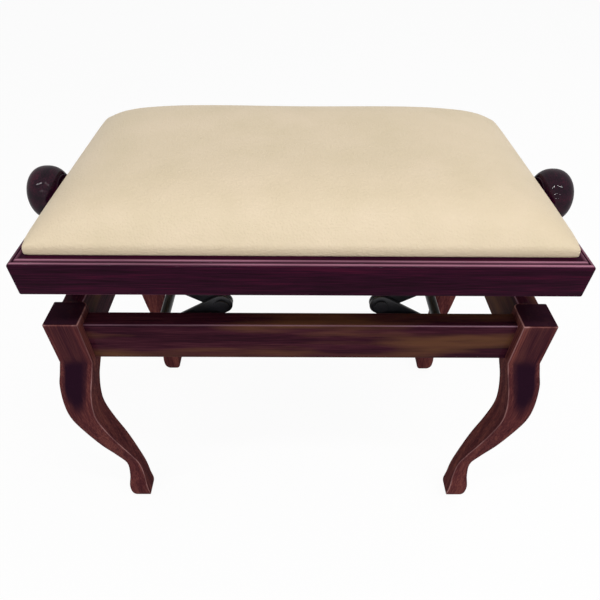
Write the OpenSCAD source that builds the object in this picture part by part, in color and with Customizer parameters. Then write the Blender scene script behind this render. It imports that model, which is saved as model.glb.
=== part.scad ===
// Height-adjustable piano bench with cabriole legs, a padded seat and a screw-driven lift.
// Millimetres, +Z up. The origin is on the floor, at the middle of the bench.
// X runs along the seat's long side, from the sitter's left to right; Y runs from front to back.

/* [Seat] */
// Outside width of the seat frame, side to side
seat_w = 560; // [530:5:590]
// Outside depth of the seat frame, front to back
seat_d = 330; // [320:5:360]
// Height of the seat frame's rails
seat_rail_h = 39; // [39:1:44]
// Thickness of the seat frame's rails
seat_rail_t = 22; // [21:1:26]
// Distance from the seat frame's outer face to the cushion's edge
cushion_inset = 15; // [15:1:20]
// Height of the cushion's upright edge
cushion_edge = 7; // [4:1:12]
// Height of the crown at the cushion's middle, above its upright edge
cushion_crown = 41; // [15:1:50]
// How far in from its edge the cushion's shoulder takes to rise two thirds of the crown
cushion_shoulder = 25; // [15:1:40]
// Thickness of the cushion's board
board_t = 10; // [8:1:10]

/* [Base] */
// Height of the leg tops above the floor
leg_h = 411; // [395:1:430]
// Side of the square post at the top of each leg
leg_post = 38; // [38:1:42]
// Height of the rails between the legs
rail_h = 54; // [50:1:56]
// Thickness of the rails between the legs
rail_t = 21; // [19:1:22]
// Distance from a leg's outer face to the rail's outer face
rail_setback = 11; // [8:1:12]
// Distance from the leg tops down to the rails' top edge
rail_drop = 10; // [6:1:10]

/* [Height mechanism] */
// Gap between the leg tops and the seat frame, at the height that is modelled
lift = 50; // [5:1:90]
// Length of each lift arm between its pivots
arm_len = 92; // [88:1:100]
// Width of the lift arms
arm_w = 25; // [20:1:26]
// Thickness of the lift arms
arm_t = 3.5; // [3:0.5:4]
// Distance from the bench's middle to the outer pivots, along X
pivot_x = 168.5; // [160:0.5:175]
// Diameter of the drive screw and the pivot shafts
shaft_d = 12; // [10:1:12]

/* [Knobs] */
// Largest diameter of a knob
knob_d = 64; // [56:1:68]
// Length of a knob's bulb, along X
knob_len = 37; // [32:1:42]

/* [Hidden] */

$fn = 48;
through = 1;

WOOD = [0.27, 0.07, 0.08];
BLACK_STEEL = [0.09, 0.09, 0.12];
BRIGHT_STEEL = [0.70, 0.71, 0.73];
BRASS = [0.72, 0.58, 0.30];
PLYWOOD = [0.76, 0.62, 0.42];
FOAM = [0.93, 0.88, 0.66];
LEATHERETTE = [0.87, 0.77, 0.58];

// Base, outside faces of the leg posts
base_w = seat_w - 4;
base_d = seat_d - 14;
rail_top = leg_h - rail_drop;
rail_low = rail_top - rail_h;
tenon_len = 10;
tenon_t = 11;
tenon_low = rail_low + 17;
tenon_high = rail_top - 7;
end_rail_top = leg_h - 1;
end_rail_out = 3;
rail_inner_x = base_w / 2 - rail_setback - rail_t;
rail_inner_y = base_d / 2 - rail_setback - rail_t;

// Seat, from the underside of its frame
seat_z = leg_h + lift;
frame_top = seat_z + seat_rail_h;
board_z = frame_top - board_t;
ledge_x = 15;
board_gap = 0.2;

// Leg outline: distance in from the post's outer face at each height. The post above is straight.
leg_outer = [
    [0, 350], [-4.8, 332], [-9, 315], [-12.6, 285], [-13, 255], [-8, 219], [0.8, 174],
    [11, 132], [16.8, 95], [13.6, 62], [8.8, 36], [8.5, 14], [12.5, 0]
];
leg_inner = [
    [29, 0], [35, 15], [38.3, 40], [38.3, 70], [34.4, 112], [28.6, 163], [23, 208], [20.3, 245],
    [21.6, 270], [26.6, 300], [33, 327], [leg_post, 350]
];
spline_steps = 4;
leg_corner_r = 5;
leg_corner_steps = 3;
leg_levels = concat([for (i = [0 : 35]) 350 * i / 35], [leg_h]);
outer_curve = concat([for (p = curve(leg_outer, spline_steps)) [p[1], p[0]]], [[leg_h, 0]]);
inner_curve = concat([for (p = curve(leg_inner, spline_steps)) [p[1], p[0]]], [[leg_h, leg_post]]);

// Corner blocks, bolted through to the legs
block_leg = 30;
block_low = rail_low + 3;
block_high = rail_top - 30;
bolt_z = rail_low + 11;
bolt_r = 3;
bolt_in = 16;
bolt_head_r = 6.5;
bolt_head_t = 5;
notch = leg_post - rail_setback - rail_t + 0.3;

// Lift: the pivots' places and the arms' angle at the modelled height
shaft_r = shaft_d / 2;
knee_r = 5;
fit = 0.08;
low_pivot_z = leg_h - 51;
high_pivot_z = seat_z - 5;
screw_z = seat_z + 18;
arm_angle = asin((high_pivot_z - low_pivot_z) / (2 * arm_len));
knee_x = pivot_x - arm_len * cos(arm_angle);
knee_z = (low_pivot_z + high_pivot_z) / 2;
// Layers of the lift, measured towards the middle from the inner face of the front rail
bracket_t = 2.5;
bracket_y = rail_inner_y;
low_arm_y = bracket_y - bracket_t - 2;
arm_gap = 1.5;
high_arm_y = low_arm_y - arm_t - arm_gap;
hanger_y = high_arm_y - arm_t - 2;
// Plates screwed to the rails, which carry the lower shafts
low_plate_w = 46;
low_plate_low = low_pivot_z - 10;
low_plate_high = low_pivot_z + 27;
low_screw_x = 15;
low_screw_z = low_pivot_z + 19;
// Angle brackets under the board, which carry the upper shafts
hanger_w = 40;
hanger_leg = 26;
hanger_screw_x = 13;
hanger_screw_y = 15;
// Fork levers on the upper shafts, and the nuts that push them
fork_t = 3.5;
fork_w = 20;
fork_y = 12;
fork_boss_r = 11;
trunnion_r = 4;
trunnion_out = 17;
fork_slot = 2 * trunnion_r + 1;
fork_top = screw_z + 5.5;
nut_w = 20;
nut_len = 24;

// Knobs and the screw's ends
bush_r = 9;
bush_flange_r = 13;
bush_flange_t = 1.5;
neck_r = 13;
neck_start = seat_w / 2 + bush_flange_t + 0.5;
neck_end = neck_start + 7;
knob_end = neck_end + knob_len - 1;
bulb_half = knob_len / 2 + 1;
knob_pin_x = neck_start + 3;
knob_pin_r = 1.5;
screw_end = neck_end + 18;
collar_r = 10;
collar_len = 7;
collar_x = seat_w / 2 - seat_rail_t - 0.4 - collar_len;

// Wood screws
wood_screw_r = 2;
wood_screw_head_r = 4;
wood_screw_head_t = 2.4;
frame_screw_y = seat_d / 2 - 18.5;
frame_screw_xs = [-180, 0, 180];

// Cushion
cushion_w = seat_w - 2 * cushion_inset;
cushion_d = seat_d - 2 * cushion_inset;
cover_t = 1.2;
foam_gap = 0.15;
crown_cols = 22;
crown_rows = 14;

// ---- Shapes shared by several pieces ----

// One point on a curve through b and c, with a and d as the neighbours that set its direction
function curve_point(a, b, c, d, t) =
    0.5 * (2 * b + (c - a) * t + (2 * a - 5 * b + 4 * c - d) * t * t
        + (3 * b - a - 3 * c + d) * t * t * t);

// A smooth curve through every knot
function curve(k, steps) = let (last = len(k) - 1) [
    for (i = [0 : last - 1])
        for (j = [0 : steps - 1])
            curve_point(k[max(i - 1, 0)], k[i], k[i + 1], k[min(i + 2, last)], j / steps),
    k[last]
];

// Points along an arc, from angle a to angle b
function arc(cx, cy, r, a, b, steps) = [
    for (i = [0 : steps]) [cx + r * cos(a + (b - a) * i / steps), cy + r * sin(a + (b - a) * i / steps)]
];

// Repeats its children in all four corners, mirrored; drawn for the front left one
module four_corners() {
    for (right = [0, 1])
        for (rear = [0, 1])
            mirror([right, 0, 0]) mirror([0, rear, 0]) children();
}

// A cylinder along Y, between two places
module rod_y(r, y0, y1) {
    translate([0, y0, 0]) rotate([-90, 0, 0]) cylinder(r = r, h = y1 - y0);
}

// A cylinder along X, between two places
module rod_x(r, x0, x1) {
    translate([x0, 0, 0]) rotate([0, 90, 0]) cylinder(r = r, h = x1 - x0);
}

// ---- Base ----

// Square cross-section of the leg at one height, with its outer corner rounded
function leg_section(z) = let (a = lookup(z, outer_curve), b = lookup(z, inner_curve), r = leg_corner_r)
    concat([[b, a, z], [b, b, z], [a, b, z]],
        [for (i = [0 : leg_corner_steps]) let (t = 180 + 90 * i / leg_corner_steps)
            [a + r + r * cos(t), a + r + r * sin(t), z]]);

// Leg shaped to the same outline from two sides; its post's outer corner is at x = 0, y = 0
module leg_blank() {
    rings = len(leg_levels);
    count = leg_corner_steps + 4;
    points = [for (z = leg_levels) each leg_section(z)];
    sides = [for (j = [0 : rings - 2]) for (i = [0 : count - 1])
        let (p = j * count + i, q = j * count + (i + 1) % count)
        each [[p, q, q + count], [p, q + count, p + count]]];
    ends = [[for (i = [0 : count - 1]) i], [for (i = [count - 1 : -1 : 0]) (rings - 1) * count + i]];
    polyhedron(points = points, faces = concat(sides, ends));
}

// Mortise for one rail's tenon
module mortise() {
    translate([leg_post - tenon_len, rail_setback + (rail_t - tenon_t) / 2, tenon_low])
        cube([tenon_len + through, tenon_t, tenon_high - tenon_low]);
}

// Bolt hole in the leg's inner corner
module leg_bolt_hole() {
    translate([bolt_in, bolt_in, bolt_z]) rotate([0, 90, 45]) cylinder(r = bolt_r, h = 50);
}

module leg() {
    color(WOOD)
        translate([-base_w / 2, -base_d / 2, 0])
            difference() {
                leg_blank();
                mortise();
                mirror([1, -1, 0]) mortise();
                leg_bolt_hole();
            }
}

module front_left_leg() {
    leg();
}

module front_right_leg() {
    mirror([1, 0, 0]) leg();
}

module rear_left_leg() {
    mirror([0, 1, 0]) leg();
}

module rear_right_leg() {
    mirror([1, 0, 0]) mirror([0, 1, 0]) leg();
}

// Rail along X in front, with a stub tenon at each end
module long_rail() {
    shoulder = base_w / 2 - leg_post;
    y0 = -base_d / 2 + rail_setback;
    difference() {
        union() {
            translate([-shoulder, y0, rail_low]) cube([2 * shoulder, rail_t, rail_h]);
            translate([-shoulder - tenon_len, y0 + (rail_t - tenon_t) / 2, tenon_low])
                cube([2 * (shoulder + tenon_len), tenon_t, tenon_high - tenon_low]);
        }
        for (side = [-1, 1])
            for (dx = [-low_screw_x, low_screw_x])
                translate([side * pivot_x + dx, 0, low_screw_z])
                    rod_y(wood_screw_r, y0 + 5, y0 + rail_t + through);
    }
}

module front_rail() {
    color(WOOD) long_rail();
}

module rear_rail() {
    color(WOOD) mirror([0, 1, 0]) long_rail();
}

// Rail along Y on the left, thicker and taller than the long ones, with a stub tenon at each end
module end_rail() {
    shoulder = base_d / 2 - leg_post;
    x0 = -base_w / 2 + rail_setback;
    translate([x0 - end_rail_out, -shoulder, rail_low])
        cube([rail_t + end_rail_out, 2 * shoulder, end_rail_top - rail_low]);
    translate([x0 + (rail_t - tenon_t) / 2, -shoulder - tenon_len, tenon_low])
        cube([tenon_t, 2 * (shoulder + tenon_len), tenon_high - tenon_low]);
}

module left_end_rail() {
    color(WOOD) end_rail();
}

module right_end_rail() {
    color(WOOD) mirror([1, 0, 0]) end_rail();
}

// Glue block across each inside corner, notched for the leg
module corner_blocks() {
    color(WOOD)
        four_corners()
            translate([-rail_inner_x, -rail_inner_y, 0])
                difference() {
                    translate([0, 0, block_low])
                        linear_extrude(block_high - block_low)
                            polygon([[0, notch], [notch, notch], [notch, 0], [block_leg, 0], [0, block_leg]]);
                    translate([0, 0, bolt_z]) rotate([0, 90, 45]) cylinder(r = bolt_r, h = 60);
                }
}

// Hex-head bolt through each corner block into its leg
module leg_bolts() {
    from_corner = leg_post - notch + 0.3;
    head_at = block_leg / sqrt(2);
    tip_at = (bolt_in - from_corner) * sqrt(2);
    color(BRIGHT_STEEL)
        four_corners()
            translate([-rail_inner_x, -rail_inner_y, bolt_z])
                rotate([0, 90, 45]) {
                    translate([0, 0, tip_at]) cylinder(r = bolt_r, h = head_at - tip_at);
                    translate([0, 0, head_at]) cylinder(r = bolt_head_r, h = bolt_head_t, $fn = 6);
                }
}

// Steel plates on the rails' inner faces
module lower_brackets() {
    color(BLACK_STEEL)
        four_corners()
            difference() {
                translate([-pivot_x - low_plate_w / 2, -bracket_y, low_plate_low])
                    cube([low_plate_w, bracket_t, low_plate_high - low_plate_low]);
                translate([-pivot_x, 0, low_pivot_z])
                    rod_y(shaft_r + fit, -bracket_y - through, -bracket_y + bracket_t + through);
                for (dx = [-low_screw_x, low_screw_x])
                    translate([-pivot_x + dx, 0, low_screw_z])
                        rod_y(wood_screw_r, -bracket_y - through, -bracket_y + bracket_t + through);
            }
}

module lower_bracket_screws() {
    color(BRIGHT_STEEL)
        four_corners()
            for (dx = [-low_screw_x, low_screw_x])
                translate([-pivot_x + dx, 0, low_screw_z]) {
                    rod_y(wood_screw_r, -bracket_y - 14, -bracket_y + bracket_t);
                    rod_y(wood_screw_head_r, -bracket_y + bracket_t,
                        -bracket_y + bracket_t + wood_screw_head_t - 0.6);
                }
}

// ---- Lift arms, drawn for the left side; the right side is their mirror image ----

// Flat bar with round ends, from the origin along +X, in the XY plane
module arm_outline(outer_hole_r, knee_hole_r) {
    difference() {
        union() {
            circle(r = arm_w / 2);
            translate([arm_len, 0]) circle(r = arm_w / 2);
            translate([0, -arm_w / 2]) square([arm_len, arm_w]);
        }
        circle(r = outer_hole_r);
        translate([arm_len, 0]) circle(r = knee_hole_r);
    }
}

// Arm that rises from the lower pivot to the knee; its near face is at y
module lower_arm(y) {
    color(BLACK_STEEL)
        translate([-pivot_x, y + arm_t, low_pivot_z])
            rotate([90, -arm_angle, 0])
                linear_extrude(arm_t) arm_outline(shaft_r, knee_r);
}

// Arm that falls from the upper pivot to the knee; its near face is at y
module upper_arm(y) {
    color(BLACK_STEEL)
        translate([-pivot_x, y + arm_t, high_pivot_z])
            rotate([90, arm_angle, 0])
                linear_extrude(arm_t) arm_outline(shaft_r, knee_r + fit);
}

module lower_shaft() {
    color(BRIGHT_STEEL)
        translate([-pivot_x, 0, low_pivot_z]) rod_y(shaft_r, -bracket_y + 0.3, bracket_y - 0.3);
}

module knee_shaft() {
    color(BRIGHT_STEEL)
        translate([-knee_x, 0, knee_z]) rod_y(knee_r, -low_arm_y - 1, low_arm_y + 1);
}

// Ring on the knee shaft
module knee_ring(r, y0, y1) {
    difference() {
        rod_y(r, y0, y1);
        rod_y(knee_r, y0 - through, y1 + through);
    }
}

// End cap, spacing ring and inner collar at each end of the knee shaft
module knee_collars() {
    color(BLACK_STEEL)
        for (rear = [0, 1])
            mirror([0, rear, 0])
                translate([-knee_x, 0, knee_z]) {
                    difference() {
                        rod_y(8, -low_arm_y - 3.2, -low_arm_y);
                        rod_y(knee_r, -low_arm_y - 1, -low_arm_y + through);
                    }
                    knee_ring(8, -low_arm_y + arm_t, -high_arm_y - 0.1);
                    knee_ring(9, -high_arm_y + arm_t + 0.1, -high_arm_y + arm_t + 6);
                }
}

module upper_shaft() {
    color(BRIGHT_STEEL)
        translate([-pivot_x, 0, high_pivot_z]) rod_y(shaft_r, -high_arm_y - 0.5, high_arm_y + 0.5);
}

// Two levers on the upper shaft, whose forks straddle the nut
module fork_levers() {
    color(BLACK_STEEL)
        for (y = [fork_y, -fork_y - fork_t])
            translate([-pivot_x, y + fork_t, 0])
                rotate([90, 0, 0])
                    linear_extrude(fork_t)
                        difference() {
                            union() {
                                translate([0, high_pivot_z]) circle(r = fork_boss_r);
                                translate([-fork_w / 2, high_pivot_z]) square([fork_w, fork_top - high_pivot_z]);
                            }
                            translate([0, high_pivot_z]) circle(r = shaft_r);
                            translate([-fork_slot / 2, screw_z - fork_slot / 2 - 0.5]) square([fork_slot, 20]);
                        }
}

// Nut on the drive screw, with a trunnion on each side for the forks
module screw_nut() {
    color(BRASS)
        translate([-pivot_x, 0, screw_z])
            difference() {
                union() {
                    translate([-nut_len / 2, -nut_w / 2, -nut_w / 2]) cube([nut_len, nut_w, nut_w]);
                    rod_y(trunnion_r, -trunnion_out, trunnion_out);
                }
                rod_x(shaft_r + fit, -nut_len, nut_len);
            }
}

module left_lower_front_arm() {
    lower_arm(-low_arm_y);
}

module left_lower_rear_arm() {
    lower_arm(low_arm_y - arm_t);
}

module left_upper_front_arm() {
    upper_arm(-high_arm_y);
}

module left_upper_rear_arm() {
    upper_arm(high_arm_y - arm_t);
}

module right_lower_front_arm() {
    mirror([1, 0, 0]) left_lower_front_arm();
}

module right_lower_rear_arm() {
    mirror([1, 0, 0]) left_lower_rear_arm();
}

module right_upper_front_arm() {
    mirror([1, 0, 0]) left_upper_front_arm();
}

module right_upper_rear_arm() {
    mirror([1, 0, 0]) left_upper_rear_arm();
}

module left_lower_shaft() {
    lower_shaft();
}

module right_lower_shaft() {
    mirror([1, 0, 0]) lower_shaft();
}

module left_knee_shaft() {
    knee_shaft();
}

module right_knee_shaft() {
    mirror([1, 0, 0]) knee_shaft();
}

module left_knee_collars() {
    knee_collars();
}

module right_knee_collars() {
    mirror([1, 0, 0]) knee_collars();
}

module left_upper_shaft() {
    upper_shaft();
}

module right_upper_shaft() {
    mirror([1, 0, 0]) upper_shaft();
}

module left_fork_levers() {
    fork_levers();
}

module right_fork_levers() {
    mirror([1, 0, 0]) fork_levers();
}

module left_nut() {
    screw_nut();
}

module right_nut() {
    mirror([1, 0, 0]) screw_nut();
}

// ---- Drive screw and knobs ----

module drive_screw() {
    color(BRIGHT_STEEL)
        translate([0, 0, screw_z])
            difference() {
                rod_x(shaft_r, -screw_end, screw_end);
                for (side = [-1, 1])
                    translate([side * knob_pin_x, 0, 0]) rod_y(knob_pin_r, -shaft_d, shaft_d);
            }
}

// Point on the bulb's outline at angle a: a little squarer than an ellipse
function bulb_point(a) = [knob_d / 2 * pow(cos(a), 0.85), bulb_half * sign(a) * pow(abs(sin(a)), 0.85)];

// Turned knob on the left: a short neck that swells to a bulb
module knob() {
    bulb_mid = knob_end - bulb_half;
    color(WOOD)
        translate([0, 0, screw_z])
            difference() {
                union() {
                    rod_x(neck_r, -neck_end - 1, -neck_start);
                    translate([-bulb_mid, 0, 0])
                        rotate([0, 90, 0])
                            rotate_extrude($fn = 64)
                                polygon(concat([[0, -bulb_half]], [for (i = [-11 : 11]) bulb_point(i * 90 / 12)],
                                    [[0, bulb_half]]));
                }
                rod_x(shaft_r, -screw_end, -neck_start + through);
                translate([-knob_pin_x, 0, 0]) rod_y(knob_pin_r, -knob_d, knob_d);
            }
}

module left_knob() {
    knob();
}

module right_knob() {
    mirror([1, 0, 0]) knob();
}

module knob_pins() {
    color(BRIGHT_STEEL)
        for (side = [-1, 1])
            translate([side * knob_pin_x, 0, screw_z]) rod_y(knob_pin_r, -neck_r + 0.5, neck_r - 0.5);
}

// Stop collars that keep the screw from sliding endways
module screw_collars() {
    color(BLACK_STEEL)
        for (side = [0, 1])
            mirror([side, 0, 0])
                translate([0, 0, screw_z])
                    difference() {
                        rod_x(collar_r, collar_x, collar_x + collar_len);
                        rod_x(shaft_r, collar_x - through, collar_x + collar_len + through);
                    }
}

// Flanged bush in the left seat rail
module bush() {
    color(BRASS)
        translate([0, 0, screw_z])
            difference() {
                union() {
                    rod_x(bush_r, -seat_w / 2, -seat_w / 2 + seat_rail_t);
                    rod_x(bush_flange_r, -seat_w / 2 - bush_flange_t, -seat_w / 2);
                }
                rod_x(shaft_r + fit, -seat_w, 0);
            }
}

module left_bush() {
    bush();
}

module right_bush() {
    mirror([1, 0, 0]) bush();
}

// ---- Seat ----

// Moulded section of a seat rail: x runs in from its outer face, y up from its underside.
// A flat face with rounded arrises, then a quirk, a bead and a shallow hollow up to the ledge.
module seat_rail_section() {
    h = seat_rail_h;
    polygon(concat(
        arc(2, 2, 2, 270, 180, 3),
        arc(3.2, h - 4.2, 3.2, 180, 90, 5),
        [[4.4, h - 1], [4.8, h - 1.8], [5.6, h - 1.8]],
        arc(7.3, h - 1.3, 1.3, 180, 90, 3),
        [[10, h - 0.5], [12, h - 0.5], [ledge_x, h], [ledge_x, h - board_t],
         [seat_rail_t, h - board_t], [seat_rail_t, 0]]
    ));
}

// Length of moulding along X, with its outer face at y = 0 and both ends mitred
module mitred_rail(length) {
    difference() {
        translate([-length / 2, 0, 0]) rotate([90, 0, 90]) linear_extrude(length) seat_rail_section();
        for (end = [0, 1])
            mirror([end, 0, 0])
                translate([length / 2, 0, -through])
                    rotate([0, 0, 45])
                        translate([0, -50, 0]) cube([100, 150, seat_rail_h + 2 * through]);
    }
}

module long_seat_rail() {
    difference() {
        translate([0, -seat_d / 2, seat_z]) mitred_rail(seat_w);
        for (x = frame_screw_xs)
            translate([x, -frame_screw_y, seat_z - through]) {
                cylinder(r = wood_screw_r, h = seat_rail_h + 2 * through);
                cylinder(r = wood_screw_head_r, h = wood_screw_head_t + through);
            }
    }
}

module front_seat_rail() {
    color(WOOD) long_seat_rail();
}

module rear_seat_rail() {
    color(WOOD) mirror([0, 1, 0]) long_seat_rail();
}

module end_seat_rail() {
    difference() {
        translate([-seat_w / 2, 0, seat_z]) rotate([0, 0, -90]) mitred_rail(seat_d);
        translate([0, 0, screw_z])
            rod_x(bush_r, -seat_w / 2 - through, -seat_w / 2 + seat_rail_t + through);
    }
}

module left_seat_rail() {
    color(WOOD) end_seat_rail();
}

module right_seat_rail() {
    color(WOOD) mirror([1, 0, 0]) end_seat_rail();
}

// Screws up through the seat rails' ledge into the board
module seat_frame_screws() {
    color(BRIGHT_STEEL)
        for (rear = [0, 1])
            mirror([0, rear, 0])
                for (x = frame_screw_xs)
                    translate([x, -frame_screw_y, seat_z]) {
                        cylinder(r = wood_screw_r, h = seat_rail_h - board_t + 7);
                        cylinder(r = wood_screw_head_r, h = wood_screw_head_t);
                    }
}

module seat_board() {
    edge = ledge_x + board_gap;
    color(PLYWOOD)
        difference() {
            translate([-seat_w / 2 + edge, -seat_d / 2 + edge, board_z])
                cube([seat_w - 2 * edge, seat_d - 2 * edge, board_t]);
            for (x = frame_screw_xs)
                for (side = [-1, 1])
                    translate([x, side * frame_screw_y, board_z - through])
                        cylinder(r = wood_screw_r, h = 7 + through);
            four_corners()
                for (dx = [-hanger_screw_x, hanger_screw_x])
                    translate([-pivot_x + dx, -hanger_y + hanger_screw_y, board_z - through])
                        cylinder(r = wood_screw_r, h = 8 + through);
        }
}

// Angle brackets under the board
module upper_brackets() {
    color(BLACK_STEEL)
        four_corners()
            difference() {
                union() {
                    translate([-pivot_x - hanger_w / 2, -hanger_y, high_pivot_z])
                        cube([hanger_w, bracket_t, board_z - high_pivot_z]);
                    translate([-pivot_x, 0, high_pivot_z]) rod_y(arm_w / 2, -hanger_y, -hanger_y + bracket_t);
                    translate([-pivot_x - hanger_w / 2, -hanger_y, board_z - bracket_t])
                        cube([hanger_w, hanger_leg, bracket_t]);
                }
                translate([-pivot_x, 0, high_pivot_z])
                    rod_y(shaft_r + fit, -hanger_y - through, -hanger_y + bracket_t + through);
                for (dx = [-hanger_screw_x, hanger_screw_x])
                    translate([-pivot_x + dx, -hanger_y + hanger_screw_y, board_z - bracket_t - through])
                        cylinder(r = wood_screw_r, h = bracket_t + 2 * through);
            }
}

module upper_bracket_screws() {
    color(BRIGHT_STEEL)
        four_corners()
            for (dx = [-hanger_screw_x, hanger_screw_x])
                translate([-pivot_x + dx, -hanger_y + hanger_screw_y, board_z - bracket_t]) {
                    cylinder(r = wood_screw_r, h = bracket_t + 8);
                    translate([0, 0, -wood_screw_head_t]) cylinder(r = wood_screw_head_r, h = wood_screw_head_t);
                }
}

// Share of the crown reached at a distance in from the cushion's edge
function shoulder(distance) = 1 - exp(-distance / cushion_shoulder);

// Places across the cushion from -1 to 1, closer together near its edges
function edge_spaced(i, n) = let (t = 2 * i / n - 1) sign(t) * (1 - pow(1 - abs(t), 1.9));

// Points of a crowned top, w by d, followed by the points below its rim
function crown_points(w, d, edge, crown) = let (
    top = [for (j = [0 : crown_rows]) for (i = [0 : crown_cols])
        let (u = edge_spaced(i, crown_cols), v = edge_spaced(j, crown_rows))
        [u * w / 2, v * d / 2,
         edge + crown * shoulder(w / 2 * (1 - abs(u))) * shoulder(d / 2 * (1 - abs(v)))]]
) concat(top, [for (k = crown_rim) [top[k][0], top[k][1], 0]]);

// Indexes of the top's rim points, anticlockwise from above
crown_rim = let (cols = crown_cols + 1) concat(
    [for (i = [0 : crown_cols - 1]) i],
    [for (j = [0 : crown_rows - 1]) j * cols + crown_cols],
    [for (i = [crown_cols : -1 : 1]) crown_rows * cols + i],
    [for (j = [crown_rows : -1 : 1]) j * cols]
);

// Faces of a crowned top and of the wall below its rim, facing out
crown_faces = let (cols = crown_cols + 1, count = cols * (crown_rows + 1), rim = len(crown_rim)) concat(
    [for (j = [0 : crown_rows - 1]) for (i = [0 : crown_cols - 1]) let (p = j * cols + i)
        each [[p, p + cols, p + 1], [p + 1, p + cols, p + cols + 1]]],
    [for (k = [0 : rim - 1]) let (n = (k + 1) % rim)
        each [[crown_rim[k], crown_rim[n], count + n], [crown_rim[k], count + n, count + k]]]
);

// Solid block with a crowned top
module crowned_block(w, d, edge, crown) {
    count = (crown_cols + 1) * (crown_rows + 1);
    rim = len(crown_rim);
    base = [for (k = [0 : rim - 1]) [count + k, count + (k + 1) % rim, count + rim]];
    polyhedron(points = concat(crown_points(w, d, edge, crown), [[0, 0, 0]]), faces = concat(crown_faces, base));
}

// Thin shell with a crowned top, open underneath
module crowned_shell(w, d, edge, crown, t) {
    outer = crown_points(w, d, edge, crown);
    inner = crown_points(w - 2 * t, d - 2 * t, edge - t, crown);
    count = (crown_cols + 1) * (crown_rows + 1);
    all = len(outer);
    rim = len(crown_rim);
    lip = [for (k = [0 : rim - 1]) let (n = (k + 1) % rim)
        each [[count + k, count + n, all + count + n], [count + k, all + count + n, all + count + k]]];
    lining = [for (f = crown_faces) [all + f[2], all + f[1], all + f[0]]];
    polyhedron(points = concat(outer, inner), faces = concat(crown_faces, lining, lip));
}

module cushion_foam() {
    inset = cover_t + foam_gap;
    color(FOAM)
        translate([0, 0, frame_top])
            crowned_block(cushion_w - 2 * inset, cushion_d - 2 * inset, cushion_edge - inset, cushion_crown);
}

module cushion_cover() {
    color(LEATHERETTE)
        translate([0, 0, frame_top])
            crowned_shell(cushion_w, cushion_d, cushion_edge, cushion_crown, cover_t);
}

front_left_leg();
front_right_leg();
rear_left_leg();
rear_right_leg();
front_rail();
rear_rail();
left_end_rail();
right_end_rail();
corner_blocks();
leg_bolts();
lower_brackets();
lower_bracket_screws();
left_lower_front_arm();
left_lower_rear_arm();
left_lower_shaft();
left_knee_shaft();
left_knee_collars();
right_lower_front_arm();
right_lower_rear_arm();
right_lower_shaft();
right_knee_shaft();
right_knee_collars();
left_upper_front_arm();
left_upper_rear_arm();
left_upper_shaft();
left_fork_levers();
right_upper_front_arm();
right_upper_rear_arm();
right_upper_shaft();
right_fork_levers();
left_nut();
right_nut();
drive_screw();
left_knob();
right_knob();
knob_pins();
screw_collars();
front_seat_rail();
rear_seat_rail();
left_seat_rail();
right_seat_rail();
seat_board();
cushion_foam();
cushion_cover();
left_bush();
right_bush();
upper_brackets();
upper_bracket_screws();
seat_frame_screws();
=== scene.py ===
import math

import bmesh
import bpy
import numpy as np
from bpy.props import FloatProperty, FloatVectorProperty, PointerProperty
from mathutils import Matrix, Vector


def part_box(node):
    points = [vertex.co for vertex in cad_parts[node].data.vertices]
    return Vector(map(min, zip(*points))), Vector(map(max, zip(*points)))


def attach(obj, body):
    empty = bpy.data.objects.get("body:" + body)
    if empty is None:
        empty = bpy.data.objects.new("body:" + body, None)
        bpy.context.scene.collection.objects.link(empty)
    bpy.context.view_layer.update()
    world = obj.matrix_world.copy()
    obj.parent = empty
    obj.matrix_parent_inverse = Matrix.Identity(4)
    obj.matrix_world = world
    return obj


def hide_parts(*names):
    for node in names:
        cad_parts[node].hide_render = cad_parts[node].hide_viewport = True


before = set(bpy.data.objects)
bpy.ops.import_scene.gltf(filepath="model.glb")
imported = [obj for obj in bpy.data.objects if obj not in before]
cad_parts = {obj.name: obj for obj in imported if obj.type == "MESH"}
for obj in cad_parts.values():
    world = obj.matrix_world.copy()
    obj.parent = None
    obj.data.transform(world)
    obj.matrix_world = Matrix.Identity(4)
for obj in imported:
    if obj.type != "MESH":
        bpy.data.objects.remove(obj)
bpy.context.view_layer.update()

bl_info = {
    "name": "Adjustable piano bench",
    "version": (1, 0, 0),
    "blender": (4, 5, 0),
    "location": "View3D > Sidebar > Piano bench",
    "description": "Dresses the piano bench's frame with its lacquered wood, cushion and steel lift",
    "category": "Object",
}

MM = 0.001


# ---------------------------------------------------------------- measures and small helpers

def node_box(node):
    """Lowest and highest corner of a CAD node as two arrays, in metres."""
    low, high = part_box(node)
    return np.array(low, float), np.array(high, float)


def ramp(value, start, stop):
    """0 below start, 1 above stop, and a smooth cubic step between."""
    t = np.clip((value - start) / (stop - start), 0, 1)
    return t * t * (3 - 2 * t)


def linear(hex_code):
    """Linear red, green, blue and alpha of an sRGB colour written as six hex digits."""
    parts = np.array([int(hex_code[i:i + 2], 16) / 255 for i in (0, 2, 4)])
    parts = np.where(parts <= 0.04045, parts / 12.92, ((parts + 0.055) / 1.055) ** 2.4)
    return (*(float(p) for p in parts), 1.0)


def settings():
    """The bench's own settings in the scene."""
    return bpy.context.scene.piano_bench


def new_object(name, points, faces, material, body, highlight_and_reflection=None):
    """Makes a mesh object from an array of points and a list of faces, and puts it on its body. Where
    the mark of painted light is given, it says for each point how strong a painted highlight lies there,
    up to 1, or below 0, down to -1, how dark a painted reflection lies there."""
    mesh = bpy.data.meshes.new(name)
    mesh.from_pydata(np.asarray(points, float).tolist(), [], [list(map(int, f)) for f in faces])
    if highlight_and_reflection is not None:
        mesh.attributes.new("highlight_and_reflection", "FLOAT", "POINT").data.foreach_set("value", np.ravel(highlight_and_reflection))
    mesh.update()
    obj = bpy.data.objects.new(name, mesh)
    bpy.context.scene.collection.objects.link(obj)
    mesh.materials.append(material)
    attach(obj, body)
    return obj


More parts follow.
